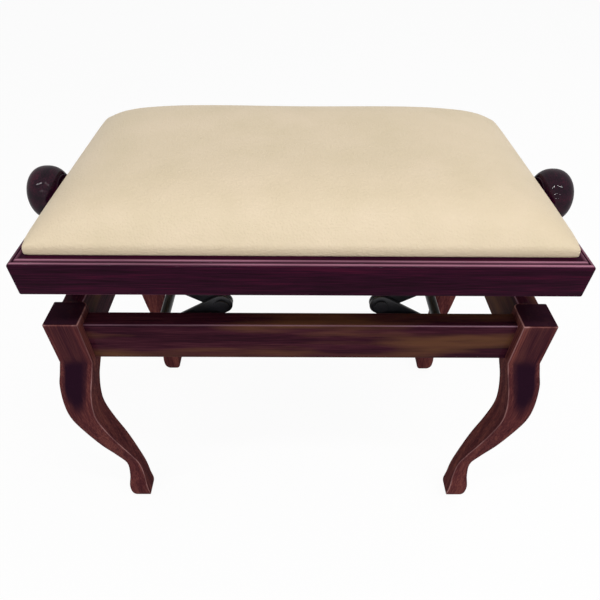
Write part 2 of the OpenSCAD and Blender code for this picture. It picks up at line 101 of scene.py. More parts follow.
def grid_faces(rows, cols, closed=False, offset=0):
    """Quads of a rows by cols grid of points, numbered row by row, whose rows are closed rings if asked."""
    row = np.arange(rows - 1)[:, None] * cols
    col = np.arange(cols if closed else cols - 1)[None, :]
    next_row, next_col = row + cols, (col + 1) % cols
    corners = (row + col, row + next_col, next_row + next_col, next_row + col)
    return (np.stack(np.broadcast_arrays(*corners), -1).reshape(-1, 4) + offset).tolist()


def tube_faces(rings, count):
    """Faces of a tube of rings, each a closed loop of count points, with a flat cap at each end."""
    first = list(range(count))[::-1]
    last = list(range((rings - 1) * count, rings * count))
    return grid_faces(rings, count, closed=True) + [first, last]


def face_outwards(obj):
    """Turns every face of a closed mesh to point out of it."""
    work = bmesh.new()
    work.from_mesh(obj.data)
    bmesh.ops.remove_doubles(work, verts=work.verts, dist=1e-6)
    bmesh.ops.recalc_face_normals(work, faces=work.faces)
    work.to_mesh(obj.data)
    work.free()
    obj.data.update()


def shade(obj, angle):
    """Smooth shading, with edges kept crisp where the faces turn by more than the angle in degrees."""
    mesh = obj.data
    mesh.shade_smooth()
    work = bmesh.new()
    work.from_mesh(mesh)
    limit = math.radians(angle)
    for edge in work.edges:
        edge.smooth = not (len(edge.link_faces) == 2 and edge.calc_face_angle(0) > limit)
    work.to_mesh(mesh)
    work.free()


def arc(cx, cy, radius, start, stop, count):
    """Points on a circle's arc: the centre plus radius times cosine and sine of evenly spaced angles."""
    t = np.radians(np.linspace(start, stop, count))
    return np.column_stack([cx + radius * np.cos(t), cy + radius * np.sin(t)])


def tube_object(name, rings, material, body, angle, highlight_and_reflection=None):
    """Makes a capped tube from its rings, an array of rings by points by x, y and z, with its faces
    outwards and with smooth shading up to the angle in degrees."""
    obj = new_object(name, rings.reshape(-1, 3), tube_faces(*rings.shape[:2]), material, body, highlight_and_reflection)
    face_outwards(obj)
    shade(obj, angle)
    return obj


def spline(knots, steps=12):
    """Smooth curve through the knots: each span is the cubic whose slopes come from its neighbours."""
    k = np.asarray(knots, float)
    k = np.vstack([k[0], k, k[-1]])
    t = np.linspace(0, 1, steps, endpoint=False)[None, :, None]
    a, b, c, d = (k[i:len(k) - 3 + i][:, None, :] for i in range(4))
    span = 0.5 * (2 * b + (c - a) * t + (2 * a - 5 * b + 4 * c - d) * t**2 + (3 * b - a - 3 * c + d) * t**3)
    return np.vstack([span.reshape(-1, k.shape[1]), k[-1]])


def turned(profile, count):
    """Surface of revolution about X: each (x, r) pair becomes a ring of radius r round the axis."""
    t = np.linspace(0, 2 * math.pi, count, endpoint=False)
    pairs = np.asarray(profile, float)
    x = np.repeat(pairs[:, :1], count, 1)
    radius = pairs[:, 1:]
    return np.stack([x, radius * np.cos(t), radius * np.sin(t)], -1)


# ---------------------------------------------------------------- materials

def add(tree, kind, links=None, **values):
    """Adds one node, gives it its settings and input values, and links its inputs from other outputs."""
    node = tree.nodes.new(kind)
    for key, value in values.items():
        if key in node.inputs:
            node.inputs[key].default_value = value
        else:
            setattr(node, key, value)
    for socket, source in (links or {}).items():
        tree.links.new(source, node.inputs[socket])
    return node


def combine(tree, operation, *inputs, clamp=False):
    """The result of a Math node whose inputs are other nodes' outputs or plain numbers."""
    node = add(tree, "ShaderNodeMath", operation=operation, use_clamp=clamp)
    for socket, value in zip(node.inputs, inputs):
        if isinstance(value, bpy.types.NodeSocket):
            tree.links.new(value, socket)
        else:
            socket.default_value = value
    return node.outputs[0]


def map_range(tree, value, start, stop, low, high):
    """Takes a value from start to stop over to low to high, and holds it at those two outside."""
    limits = {"From Min": start, "From Max": stop, "To Min": low, "To Max": high}
    return add(tree, "ShaderNodeMapRange", {"Value": value}, **limits).outputs["Result"]


def tint(tree, factor, colour, hex_code):
    """The colour with as much of the hex colour mixed in as the factor says."""
    # A Mix node of colours has its two colours at inputs 6 and 7, and its result at output 2.
    node = add(tree, "ShaderNodeMix", {0: factor, 6: colour}, data_type="RGBA")
    node.inputs[7].default_value = linear(hex_code)
    return node.outputs[2]


def colour_ramp(tree, factor, stops):
    """A Color Ramp fed by factor, with (position, hex colour) stops."""
    node = add(tree, "ShaderNodeValToRGB", {"Fac": factor})
    cells = node.color_ramp.elements
    while len(cells) < len(stops):
        cells.new(0.5)
    for cell, (place, hex_code) in zip(cells, stops):
        cell.position = place
        cell.color = linear(hex_code)
    return node.outputs["Color"]


def noise(tree, across_mm, detail, along_mm=None, axis="X"):
    """Noise whose patches are across_mm wide, and along_mm long on the axis if that is given."""
    place = add(tree, "ShaderNodeTexCoord").outputs["Object"]
    scale = [1 / (across_mm * MM)] * 3
    if along_mm:
        scale["XYZ".index(axis)] = 1 / (along_mm * MM)
    place = add(tree, "ShaderNodeMapping", {"Vector": place}, Scale=scale).outputs["Vector"]
    return add(tree, "ShaderNodeTexNoise", {"Vector": place}, Scale=1.0, Detail=detail).outputs["Fac"]


def bump(tree, shader, height, strength, distance, normal="Normal"):
    """Feeds a bump made from the height into one of the shader's normals."""
    node = add(tree, "ShaderNodeBump", {"Height": height}, Strength=strength, Distance=distance)
    tree.links.new(node.outputs["Normal"], shader.inputs[normal])


def new_material(name, values=None):
    """A material, its node tree, and the Principled shader at the tree's end with the given input
    values. If the material is there already, it comes without tree and shader and stays as it is."""
    old = bpy.data.materials.get(name)
    if old:
        return old, None, None
    material = bpy.data.materials.new(name)
    material.use_nodes = True
    tree = material.node_tree
    tree.nodes.clear()
    shader = add(tree, "ShaderNodeBsdfPrincipled", **(values or {}))
    add(tree, "ShaderNodeOutputMaterial", {"Surface": shader.outputs["BSDF"]})
    return material, tree, shader


def lacquered_mahogany(name, axis, stain, edge, coat, dark_reflection=None, figure_and_reflection=None):
    """Mahogany stained red-brown under a thick polished lacquer: straight dark pore streaks along the
    grain show through a clear coat that is very slightly uneven and mirrors the lamps as thin lines.
    The stain is three colours, dark to light. The edge colour is a painted highlight along the edges;
    the last two colours, where given, are a painted dark reflection and a golden figured grain that is
    partly a painted golden reflection."""
    material, tree, shader = new_material(name, {"Roughness": 0.4, "Specular IOR Level": 0.0,
                                                 "Coat Weight": coat, "Coat Roughness": 0.03})
    if tree is None:
        return material
    # Grain bands about 9 mm wide and 300 mm long, with pore streaks 0.9 mm wide and 35 mm long.
    bands = noise(tree, 9, 3.0, 300, axis)
    streaks = noise(tree, 0.9, 2.0, 35, axis)
    grain = combine(tree, "MULTIPLY", combine(tree, "ADD", bands, streaks), 0.5)
    colour = colour_ramp(tree, grain, list(zip((0.36, 0.5, 0.66), stain)))
    if figure_and_reflection:
        # Broad golden figured grain, patches about 30 mm by 200 mm where the stain took less: partly a
        # painted golden reflection.
        broad = noise(tree, 30, 3.0, 200, axis)
        colour = tint(tree, map_range(tree, broad, 0.48, 0.66, 0.0, 0.7), colour, figure_and_reflection)
    painted_light = add(tree, "ShaderNodeAttribute", attribute_name="highlight_and_reflection").outputs["Fac"]
    if dark_reflection:
        # A negative value of the attribute marks a painted dark reflection, darker the lower it is.
        colour = tint(tree, combine(tree, "MULTIPLY", painted_light, -1.0, clamp=True), colour, dark_reflection)
    # Painted highlight: the edges are painted paler, as a thin line of the light they would catch.
    # The line comes and goes with the grain, between a third of its strength and a little over all of it.
    patchy = map_range(tree, bands, 0.4, 0.62, 0.35, 1.15)
    colour = tint(tree, combine(tree, "MULTIPLY", painted_light, patchy, clamp=True), colour, edge)
    tree.links.new(colour, shader.inputs["Base Color"])
    # The coat's unevenness is about 14 mm across.
    bump(tree, shader, noise(tree, 14, 1.0, 40, axis), 0.05, 0.4 * MM, "Coat Normal")
    bump(tree, shader, streaks, 0.12, 0.2 * MM)
    return material


def seat_wood(axis):
    """Dark plum mahogany with painted highlights along its beads, for the seat frame."""
    return lacquered_mahogany("Polished plum mahogany along " + axis, axis,
                              ("190410", "29081C", "400C24"), "B47C90", coat=0.08)


def base_wood(axis):
    """Red mahogany with painted highlights on its arrises and a golden figured grain, partly a painted
    golden reflection, for the base's rails.
    """
    return lacquered_mahogany("Polished red mahogany along " + axis, axis,
                              ("200B15", "32121E", "442029"), "9A7686", coat=0.05, figure_and_reflection="61402A")


def leg_wood():
    """Red mahogany with painted highlights on its arrises and a painted dark reflection on the knees'
    flats, for the legs.
    """
    return lacquered_mahogany("Polished red mahogany of the legs", "Z",
                              ("3A1A1F", "532A2B", "6F3F38"), "A07876", coat=0.015, dark_reflection="220F1C")


def knob_wood():
    """Nearly black mahogany under a stronger coat, for the knobs."""
    return lacquered_mahogany("Polished turned mahogany", "Y",
                              ("10040E", "200818", "3A0E20"), "94707F", coat=0.3)


def leatherette():
    """Coated vinyl leatherette, embossed: a fine pebbled surface with a soft sheen and faint mottling."""
    material, tree, shader = new_material("Cream embossed leatherette", {"Specular IOR Level": 0.4})
    if tree is None:
        return material
    # Pebbles are about 2 mm across, a coarse grain that still shows from above the seat, with a softer
    # unevenness 60 mm across in the colour.
    place = add(tree, "ShaderNodeTexCoord").outputs["Object"]
    pebbles = add(tree, "ShaderNodeTexVoronoi", {"Vector": place}, Scale=1 / (2 * MM), feature="SMOOTH_F1")
    creases = noise(tree, 5, 4.0)
    colour = colour_ramp(tree, noise(tree, 60, 2.0), [(0.3, "D1C0A2"), (0.7, "D8C6AA")])
    tree.links.new(colour, shader.inputs["Base Color"])
    bump(tree, shader, combine(tree, "ADD", pebbles.outputs["Distance"], creases), 0.45, 1 * MM)
    tree.links.new(map_range(tree, creases, 0.0, 1.0, 0.48, 0.6), shader.inputs["Roughness"])
    return material


def black_paint():
    """Mild steel, stove-painted satin black: slightly orange-peeled, with soft broad highlights."""
    material, tree, shader = new_material("Satin black stove paint", {"Roughness": 0.38})
    if tree is None:
        return material
    colour = colour_ramp(tree, noise(tree, 18, 5.0), [(0.35, "0C0C0F"), (0.7, "1C1C20")])
    tree.links.new(colour, shader.inputs["Base Color"])
    bump(tree, shader, noise(tree, 0.8, 2.0), 0.25, 0.2 * MM)
    return material


def plated_steel(name, axis):
    """Drawn steel, bright zinc plated: fine draw lines along the bar and a faintly clouded plating."""
    material, tree, shader = new_material(name, {"Metallic": 1.0, "Roughness": 0.3})
    if tree is None:
        return material
    colour = colour_ramp(tree, noise(tree, 9, 3.0), [(0.3, "A9ABAE"), (0.7, "C6C8CB")])
    tree.links.new(colour, shader.inputs["Base Color"])
    bump(tree, shader, noise(tree, 0.5, 3.0, 30, axis), 0.15, 0.1 * MM)
    return material


def turned_brass():
    """Turned free-cutting brass: warm yellow metal with fine tool rings and a little tarnish."""
    material, tree, shader = new_material("Turned brass", {"Metallic": 1.0, "Roughness": 0.28})
    if tree is None:
        return material
    colour = colour_ramp(tree, noise(tree, 7, 4.0), [(0.3, "9C7A3A"), (0.7, "C9A45A")])
    tree.links.new(colour, shader.inputs["Base Color"])
    bump(tree, shader, noise(tree, 20, 2.0, 0.6, "X"), 0.2, 0.1 * MM)
    return material


def bare_wood(name, axis, dark, light):
    """Sawn and sanded wood without a finish: pale, dull, with soft long grain and short darker flecks."""
    material, tree, shader = new_material(name, {"Roughness": 0.72})
    if tree is None:
        return material
    flecks = noise(tree, 0.7, 2.0, 9, axis)
    grain = combine(tree, "MULTIPLY", combine(tree, "ADD", noise(tree, 5, 4.0, 160, axis), flecks), 0.5)
    tree.links.new(colour_ramp(tree, grain, [(0.38, dark), (0.62, light)]), shader.inputs["Base Color"])
    bump(tree, shader, flecks, 0.3, 0.2 * MM)
    return material


# ---------------------------------------------------------------- settings

class BenchSettings(bpy.types.PropertyGroup):
    arris_radius: FloatProperty(
        name="Arris radius", description="Rounding of the rails' sharp edges", default=1.6 * MM,
        min=0.2 * MM, max=3 * MM, unit="LENGTH")
    leg_softness: FloatProperty(
        name="Leg softness", description="Rounding of the leg's outer corner at the knee", default=6 * MM,
        min=3 * MM, max=16 * MM, unit="LENGTH")
    cushion_swell: FloatProperty(
        name="Cushion swell", description="The furthest that the cushion's cover moves as it swells",
        default=5 * MM, min=0, max=20 * MM, unit="LENGTH")
    thread_pitch: FloatProperty(
        name="Thread pitch", description="Distance between two turns of the drive screw's thread",
        default=2 * MM, min=1.5 * MM, max=4 * MM, unit="LENGTH")
    floor_colour: FloatVectorProperty(
        name="Floor colour", description="Colour of the studio floor", subtype="COLOR", size=3,
        default=linear("F4F3F1")[:3], min=0, max=1)


# ---------------------------------------------------------------- base

# Leg outline in millimetres: distance in from the post's outer face, and height. The same from the
# front and from the side, so that the leg's section is a square at every height.
LEG_OUTER = [(0, 350), (-4.8, 332), (-9, 315), (-12.6, 285), (-12.8, 255), (-8.2, 219), (-0.4, 174),
             (8.8, 132), (15.6, 95), (13.6, 62), (8.8, 36), (9.3, 14), (15.5, 0)]
LEG_INNER = [(33, 0), (37.8, 13), (37.4, 40), (37, 70), (34.2, 112), (29.8, 163), (24.6, 208), (21.4, 245),
             (22.0, 270), (26.4, 300), (33, 327), (38, 350)]
POST_BOTTOM = 350 * MM
# Radius of the rounding round the post's top and the foot, and of the two sharp long edges.
EASED_EDGE = 1.4 * MM
LEG_ARRIS = 1.2 * MM
POINTS_PER_ARC = 10
# What changes along the leg, each as heights in millimetres and the values there: the share of the
# outer corner's rounding, the inner corner's radius, the quirk's depth and the arrises' painted highlight.
KNEE_ROUNDING = ((0, 60, 200, 290, 335, 352), (0.6, 0.6, 1, 1, 0.7, 0.3))
INNER_RADIUS = ((0, 120, 330, 360), (3 * MM, 3 * MM, 3 * MM, 6 * MM))
QUIRK_DEPTH = ((18, 40, 335, 356), (0, 0.3 * MM, 0.3 * MM, 0))
LEG_HIGHLIGHT = ((0, 20, 330, 350), (0.4, 0.8, 0.8, 0.5))


def along_leg(z, table):
    """A table's value at each height z, straight between its rows."""
    heights, values = table
    return np.interp(z, np.array(heights) * MM, values)


def leg_limits(z, post, top):
    """Outer and inner distance from the post's outer face at heights z: the outline's two curves,
    straight above the post's bottom, and drawn in by a quarter circle at the top and foot edges."""
    outer = spline(LEG_OUTER) * MM
    inner = spline(LEG_INNER) * MM
    a = np.where(z > POST_BOTTOM, 0, np.interp(z, outer[::-1, 1], outer[::-1, 0]))
    b = np.where(z > POST_BOTTOM, post, np.interp(z, inner[:, 1], inner[:, 0]))
    depth = np.clip(np.maximum(z - (top - EASED_EDGE), EASED_EDGE - z) / EASED_EDGE, 0, 1)
    inset = EASED_EDGE * (1 - np.sqrt(1 - depth**2))
    return a + inset, b - inset


def leg_section(a, b, outer_r, inner_r, quirk):
    """One closed section per height, and how strong a painted highlight lies on each of its columns of
    points. The section is a square from a to b, both ways, whose outer corner has radius outer_r and
    inner corner inner_r. The other two corners are sharp arrises with painted highlights, and a quirk,
    a small bell-shaped groove, runs down the outer faces beside each."""
    quarter = np.radians(np.linspace(0, 90, POINTS_PER_ARC))[None, :]
    a, b, outer_r, inner_r, quirk = (v[:, None] for v in (a, b, outer_r, inner_r, quirk))
    # The outer corner's half from its middle to the front face.
    half_turn = quarter[:, POINTS_PER_ARC // 2:]
    corner_x = a + outer_r - outer_r * np.cos(half_turn)
    corner_y = a + outer_r - outer_r * np.sin(half_turn)
    # Front face from the outer corner to the arris, with finer steps over the quirk.
    edge = a + outer_r
    near = np.maximum(b - 7 * MM, edge + 0.5 * MM)
    coarse = edge + (near - edge) * np.linspace(0.15, 1, 5)[None, :]
    fine = near + (b - LEG_ARRIS - near) * np.linspace(0.06, 1, 16)[None, :]
    front_x = np.concatenate([coarse, fine], 1)
    quirk_place, quirk_width = 3.4, 0.75
    front_y = a + quirk * np.exp(-(((b - front_x) / MM - quirk_place) / quirk_width) ** 2)
    # Arris between the front face and the inner face.
    arris_x = b - LEG_ARRIS + LEG_ARRIS * np.sin(quarter)
    arris_y = a + LEG_ARRIS - LEG_ARRIS * np.cos(quarter)
    # Inner face, up to the rounded inner corner.
    side = np.linspace(0.1, 0.9, 5)[None, :]
    inner_y = (a + LEG_ARRIS) + (b - inner_r - a - LEG_ARRIS) * side
    inner_x = np.repeat(b, side.shape[1], 1)
    half_x = np.concatenate([corner_x, front_x, arris_x, inner_x], 1)
    half_y = np.concatenate([corner_y, front_y, arris_y, inner_y], 1)
    inside_x = b - inner_r + inner_r * np.cos(quarter)
    inside_y = b - inner_r + inner_r * np.sin(quarter)
    x = np.concatenate([half_x, inside_x, half_y[:, ::-1]], 1)
    y = np.concatenate([half_y, inside_y, half_x[:, ::-1]], 1)
    # The painted highlight rises to 1 in the middle of each arris, and starts on the outer face just
    # beside it.
    columns = x.shape[1]
    front_arris = corner_x.shape[1] + front_x.shape[1]
    side_arris = columns - front_arris - POINTS_PER_ARC
    wear = np.zeros(columns)
    for first in (front_arris, side_arris):
        wear[first:first + POINTS_PER_ARC] = np.sin(np.radians(np.linspace(0, 180, POINTS_PER_ARC)))
    wear[[front_arris - 1, side_arris + POINTS_PER_ARC]] = 0.4
    return x, y, wear


def leg_wear(x, y, z, a, wide, wear_across, top):
    """The painted light on each point of the leg, row by row: painted highlights up to 1, and a painted
    dark reflection down to -1. The outer faces are a in from the post's, the leg is wide from there on,
    and the sixth argument is the columns' painted highlight."""
    # Painted highlight: a pale line down the two sharp arrises and round the edge of the top.
    rim = np.clip(1 - np.abs(z - (top - 0.6 * MM)) / (0.9 * MM), 0, 1)
    painted_light = np.maximum(along_leg(z, LEG_HIGHLIGHT)[:, None] * wear_across[None, :], rim[:, None])
    # A painted dark reflection lies on the flat of the knee, which ends in a shallow curve below: -1 is
    # darkest. Heights are in metres, and across goes from 0 to 1 over a face.
    outside = np.minimum(x, y) < a[:, None] + 0.6 * MM
    across = np.where(outside, (np.maximum(x, y) - a[:, None]) / wide[:, None], 0)
    flat = ramp(across, 0.08, 0.2) * (1 - ramp(across, 0.78, 0.9))
    flat_low, curve, fade = 0.25, 0.03, 0.04
    below = flat_low + curve * ((across - 0.5) / 0.35) ** 2
    # The painted dark reflection is about a third weaker from the post's bottom up.
    post_share = 1 - 0.35 * ramp(z[:, None], 0.345, 0.36)
    painted_light = painted_light - flat * ramp(z[:, None], below, below + fade) * post_share
    # The top of the post is painted nearly as dark, as a painted dark reflection.
    painted_light[-1] = -0.9
    return painted_light


class BENCH_OT_legs(bpy.types.Operator):
    """Four cabriole legs, each a square section that swells and narrows from post to foot"""
    bl_idname = "bench.legs"
    bl_label = "Legs"

    def execute(self, context):
        top = node_box("front_left_leg")[1][2]
        rail_low = node_box("front_seat_rail")[0]
        post = LEG_INNER[-1][0] * MM
        # The posts stand 2 mm and 7 mm in from the seat frame's ends and its front and back.
        post_x, post_y = -(abs(rail_low[0]) - 2 * MM), -(abs(rail_low[1]) - 7 * MM)
        rounding = EASED_EDGE * (1 - np.cos(np.radians(np.linspace(0, 90, 6))))
        z = np.concatenate([rounding, np.linspace(EASED_EDGE, POST_BOTTOM, 120)[1:],
                            np.linspace(POST_BOTTOM, top - EASED_EDGE, 12)[1:], top - rounding[::-1][1:]])
        a, b = leg_limits(z, post, top)
        wide = b - a
        outer_r = np.minimum(settings().leg_softness * along_leg(z, KNEE_ROUNDING), wide * 0.45)
        inner_r = np.minimum(along_leg(z, INNER_RADIUS), wide * 0.35)
        x, y, wear = leg_section(a, b, outer_r, inner_r, along_leg(z, QUIRK_DEPTH))
        points = np.stack([post_x + x, post_y + y, np.repeat(z[:, None], x.shape[1], 1)], -1)
        painted_light = leg_wear(x, y, z, a, wide, wear, top)
        for side, sx in (("left", 1), ("right", -1)):
            for end, sy in (("front", 1), ("rear", -1)):
                name = f"{end}_{side}_leg"
                obj = tube_object(name + "_shaped", points * [sx, sy, 1], leg_wood(), "base",
                                  40, painted_light)
                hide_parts(name)
        return {"FINISHED"}


def rounded_bar(width, height, r, steps=5):
    """Closed outline of a rectangle from (0, 0) to (width, height) with quarter circles of radius r."""
    return np.vstack([arc(r, r, r, 180, 270, steps), arc(width - r, r, r, 270, 360, steps),
                      arc(width - r, height - r, r, 0, 90, steps), arc(r, height - r, r, 90, 180, steps)])


def arris_wear(outline):
    """Painted highlight round a bar's outline: 0 on the flats, and 0.8 halfway round each upper corner,
    where the product of the outline's two slopes is greatest. The lower corners have 0.3 times as much."""
    middle = (outline.min(0) + outline.max(0)) / 2
    way = np.roll(outline, -1, 0) - np.roll(outline, 1, 0)
    slant = np.abs(way[:, 0] * way[:, 1]) / np.maximum((way**2).sum(1), 1e-12)
    return np.clip(slant * 2.6 - 0.5, 0, 1) * np.where(outline[:, 1] > middle[1], 1.0, 0.3)


class BENCH_OT_base_rails(bpy.types.Operator):
    """The base's four rails, each a bar with rounded arrises between two legs"""
    bl_idname = "bench.base_rails"
    bl_label = "Base rails"

    def execute(self, context):
        # The tenons are 10 mm long and stay inside the legs. The bar ends 0.3 mm inside each post.
        hidden = 10 * MM - 0.3 * MM
        for node, axis in (("front_rail", 0), ("rear_rail", 0), ("left_end_rail", 1), ("right_end_rail", 1)):
            low, high = node_box(node)
            across = 1 - axis
            outline = rounded_bar(high[across] - low[across], high[2] - low[2], settings().arris_radius)
            stations = np.linspace(low[axis] + hidden, high[axis] - hidden, 9)
            points = np.zeros((len(stations), len(outline), 3))
            points[:, :, axis] = stations[:, None]
            points[:, :, across] = low[across] + outline[:, 0]
            points[:, :, 2] = low[2] + outline[:, 1]
            # Painted highlights along the bar's arrises, fainter along the lower ones.
            painted_light = np.tile(arris_wear(outline), len(stations))
            obj = tube_object(node + "_planed", points, base_wood("XY"[axis]), "base", 40,
                              painted_light)
            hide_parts(node)
        return {"FINISHED"}


# ---------------------------------------------------------------- seat

def moulding(height, ledge, depth, rebate):
    """Section of the seat frame: x in from the outer face, y up from the underside. A flat face with
    rounded arrises, a small quirk, a bead, a shallow hollow, and a rebate for the board behind."""
    mm = np.vstack([
        arc(2, 2, 2, 270, 180, 6),
        arc(3.2, height - 4.2, 3.2, 180, 90, 8),
        [[4.4, height - 1.0]],
        arc(5.1, height - 1.1, 0.7, 180, 320, 6),
        arc(7.2, height - 1.3, 1.4, 180, 80, 7),
        [[9.5, height - 0.5], [11.5, height - 0.55], [13.5, height - 0.3], [ledge - 0.6, height]],
        [[ledge, height - 0.6], [ledge, height - rebate], [depth - 0.8, height - rebate],
         [depth, height - rebate - 0.8]],
        [[depth, 0.8], [depth - 0.8, 0]],
    ])
    return mm * MM


class BENCH_OT_seat_frame(bpy.types.Operator):
    """The seat frame: four lengths of moulding, mitred at the corners"""
    bl_idname = "bench.seat_frame"
    bl_label = "Seat frame"

    def execute(self, context):
        low = node_box("front_seat_rail")[0]
        high = node_box("rear_seat_rail")[1]
        section = moulding(height=39.0, ledge=15.0, depth=22.0, rebate=10.0)
        inset, level = section[:, 0], section[:, 1]
        # Painted highlights along the beads' crests, 2.6 mm and 7 mm in, and a faint one along the lower
        # arris.
        wear_width = 0.9 * MM
        on_top = level > 37 * MM
        crest = np.exp(-((inset - 2.6 * MM) / wear_width) ** 2) * on_top
        bead = 0.8 * np.exp(-((inset - 7.0 * MM) / wear_width) ** 2) * on_top
        foot = 0.25 * ((inset < 1.9 * MM) & (level < 1.2 * MM))
        painted_light = np.maximum(np.maximum(crest, bead), foot)
        # Each rail is a straight run, and at both ends an eighth of a turn round a 2 mm corner. It stops
        # 0.1 mm short of the mitre's plane, which leaves a fine joint line.
        joint = 0.1 * MM
        bend = np.maximum(2 * MM - inset, 0.15 * MM)
        turn = np.radians(np.linspace(0, 45, 6))[1:, None]
        # The painted highlights are weaker on the rails across the ends than on those along the front and
        # back.
        long_share, end_share = 1.0, 0.45
        for node, axis, sign, share in (("front_seat_rail", 0, -1, long_share),
                                        ("rear_seat_rail", 0, 1, long_share),
                                        ("left_seat_rail", 1, -1, end_share),
                                        ("right_seat_rail", 1, 1, end_share)):
            across = 1 - axis
            straight = high[axis] - joint - inset - bend
            run = np.linspace(-1, 1, 9)[:, None] * straight
            curve = straight + bend * np.sin(turn)
            along = np.concatenate([-curve[::-1], run, curve])
            drawn = inset + bend * (1 - np.cos(turn))
            drawn = np.concatenate([drawn[::-1], inset + np.zeros_like(run), drawn])
            points = np.zeros((*along.shape, 3))
            points[:, :, axis] = along
            points[:, :, across] = sign * (high[across] - drawn)
            points[:, :, 2] = low[2] + level
            obj = tube_object(node + "_moulded", points, seat_wood("XY"[axis]), "seat", 30,
                              np.tile(painted_light * share, len(along)))
            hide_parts(node)
        return {"FINISHED"}


def pillow(low, high, edge, crown, shoulder, cols, rows):
    """Closed cushion blank on a grid of u and v from -1 to 1. With dx and dy a point's distances to the
    nearest sides, the top's height is that of an upright edge, plus 3 mm times e^(-(dx + dy) / 12 mm)
    for the folded cover at the corners, plus a crown times
    (1 - e^(-dx / shoulder[0])) (1 - e^(-dy / shoulder[1])). The bottom is flat."""
    # The grid's lines come closer together towards the sides.
    closer = 1.7
    u, v = (np.sign(w) * (1 - (1 - np.abs(w)) ** closer)
            for w in (np.linspace(-1, 1, cols), np.linspace(-1, 1, rows)))
    u, v = np.meshgrid(u, v)
    middle, half = (low + high) / 2, (high - low) / 2
    dx, dy = half[0] * (1 - np.abs(u)), half[1] * (1 - np.abs(v))
    rise = (1 - np.exp(-dx / shoulder[0])) * (1 - np.exp(-dy / shoulder[1]))
    wall = edge + 3 * MM * np.exp(-(dx + dy) / (12 * MM))
    x = middle[0] + half[0] * u
    y = middle[1] + half[1] * v
    top = np.stack([x, y, low[2] + wall + crown * rise], -1)
    bottom = np.stack([x, y, np.full_like(x, low[2])], -1)
    count = rows * cols
    faces = grid_faces(rows, cols) + [f[::-1] for f in grid_faces(rows, cols, offset=count)]
    ids = np.arange(count).reshape(rows, cols)
    rim = np.concatenate([ids[0, :-1], ids[:-1, -1], ids[-1, :0:-1], ids[:0:-1, 0]])
    following = np.roll(rim, -1)
    faces += np.stack([rim, rim + count, following + count, following], -1).tolist()
    return np.vstack([top.reshape(-1, 3), bottom.reshape(-1, 3)]), faces


def coordinates(mesh):
    """All of a mesh's vertex places as an array."""
    co = np.empty(len(mesh.vertices) * 3)
    mesh.vertices.foreach_get("co", co)
    return co.reshape(-1, 3)


def apply_modifiers(obj):
    """Replaces the object's mesh with what its modifiers make of it, and removes them."""
    graph = bpy.context.evaluated_depsgraph_get()
    made = bpy.data.meshes.new_from_object(obj.evaluated_get(graph))
    obj.modifiers.clear()
    old = obj.data
    obj.data = made
    bpy.data.meshes.remove(old)


def inflate(obj, base, furthest):
    """Swells a cushion blank as cloth under pressure, holding what is within 5 mm of its base, and
    limits how far any point moves. Each point then takes on the shift of the points round it."""
    remesh = obj.modifiers.new("Remesh", "REMESH")
    remesh.mode = "VOXEL"
    remesh.voxel_size = 5 * MM
    apply_modifiers(obj)
    before = coordinates(obj.data)
    fixed = before[:, 2] < base + 5 * MM
    held = obj.vertex_groups.new(name="held")
    held.add(np.nonzero(fixed)[0].tolist(), 1.0, "REPLACE")
    cloth = obj.modifiers.new("Cloth", "CLOTH")
    cloth.settings.use_pressure = True
    cloth.settings.uniform_pressure_force = 4
    cloth.settings.vertex_group_mass = "held"
    cloth.settings.effector_weights.gravity = 0
    cloth.settings.tension_stiffness = 40
    cloth.settings.compression_stiffness = 40
    cloth.settings.bending_stiffness = 8
    steps = 20
    cloth.point_cache.frame_start = 1
    cloth.point_cache.frame_end = steps
    scene = bpy.context.scene
    for step in range(1, steps + 1):
        scene.frame_set(step)
    apply_modifiers(obj)
    scene.frame_set(1)
    shift = coordinates(obj.data) - before
    far = np.linalg.norm(shift, axis=1, keepdims=True)
    shift *= np.minimum(1, furthest / np.maximum(far, 1e-9))
    # Thick soft foam takes out the cloth's ripples: the shift, not the shape, is spread to neighbours.
    passes, kept, taken = 160, 0.4, 0.6
    edges = np.array([e.vertices[:] for e in obj.data.edges])
    ends = np.concatenate([edges, edges[:, ::-1]])
    count = np.maximum(np.bincount(ends[:, 0], minlength=len(shift)), 1)
    for _ in range(passes):
        total = np.stack([np.bincount(ends[:, 0], shift[ends[:, 1], k], len(shift)) for k in range(3)], -1)
        shift = np.where(fixed[:, None], 0, kept * shift + taken * total / count[:, None])
    obj.data.vertices.foreach_set("co", (before + shift).ravel())


def relax(obj, base):
    """Irons out the voxel steps, from not at all 4 mm above the base to fully at 10 mm, and then
    subdivides once."""
    free = obj.vertex_groups.new(name="free")
    level = np.clip((coordinates(obj.data)[:, 2] - base - 4 * MM) / (6 * MM), 0, 1)
    for index, weight in enumerate(level.tolist()):
        if weight > 0:
            free.add([index], weight, "REPLACE")
    iron = obj.modifiers.new("Smooth", "SMOOTH")
    iron.factor = 0.5
    iron.iterations = 6
    iron.vertex_group = "free"
    finer = obj.modifiers.new("Subdivision", "SUBSURF")
    finer.levels = finer.render_levels = 1
    apply_modifiers(obj)


def tuck(points, middle, half, base):
    """Draws the foot of the cushion's wall out to the board's ledge: a distance d in from the outline
    becomes d squared over 14 mm where d is under 14 mm, fading out 14 mm above the base."""
    reach = 14 * MM
    moved = points.copy()
    away = moved[:, :2] - middle[:2]
    inward = half[:2] - np.abs(away)
    share = np.clip(1 - (moved[:, 2:3] - base) / reach, 0, 1) ** 0.6
    drawn = np.where(inward < reach, np.maximum(inward, 0) ** 2 / reach, inward)
    moved[:, :2] += np.sign(away) * (inward - drawn) * share
    return moved


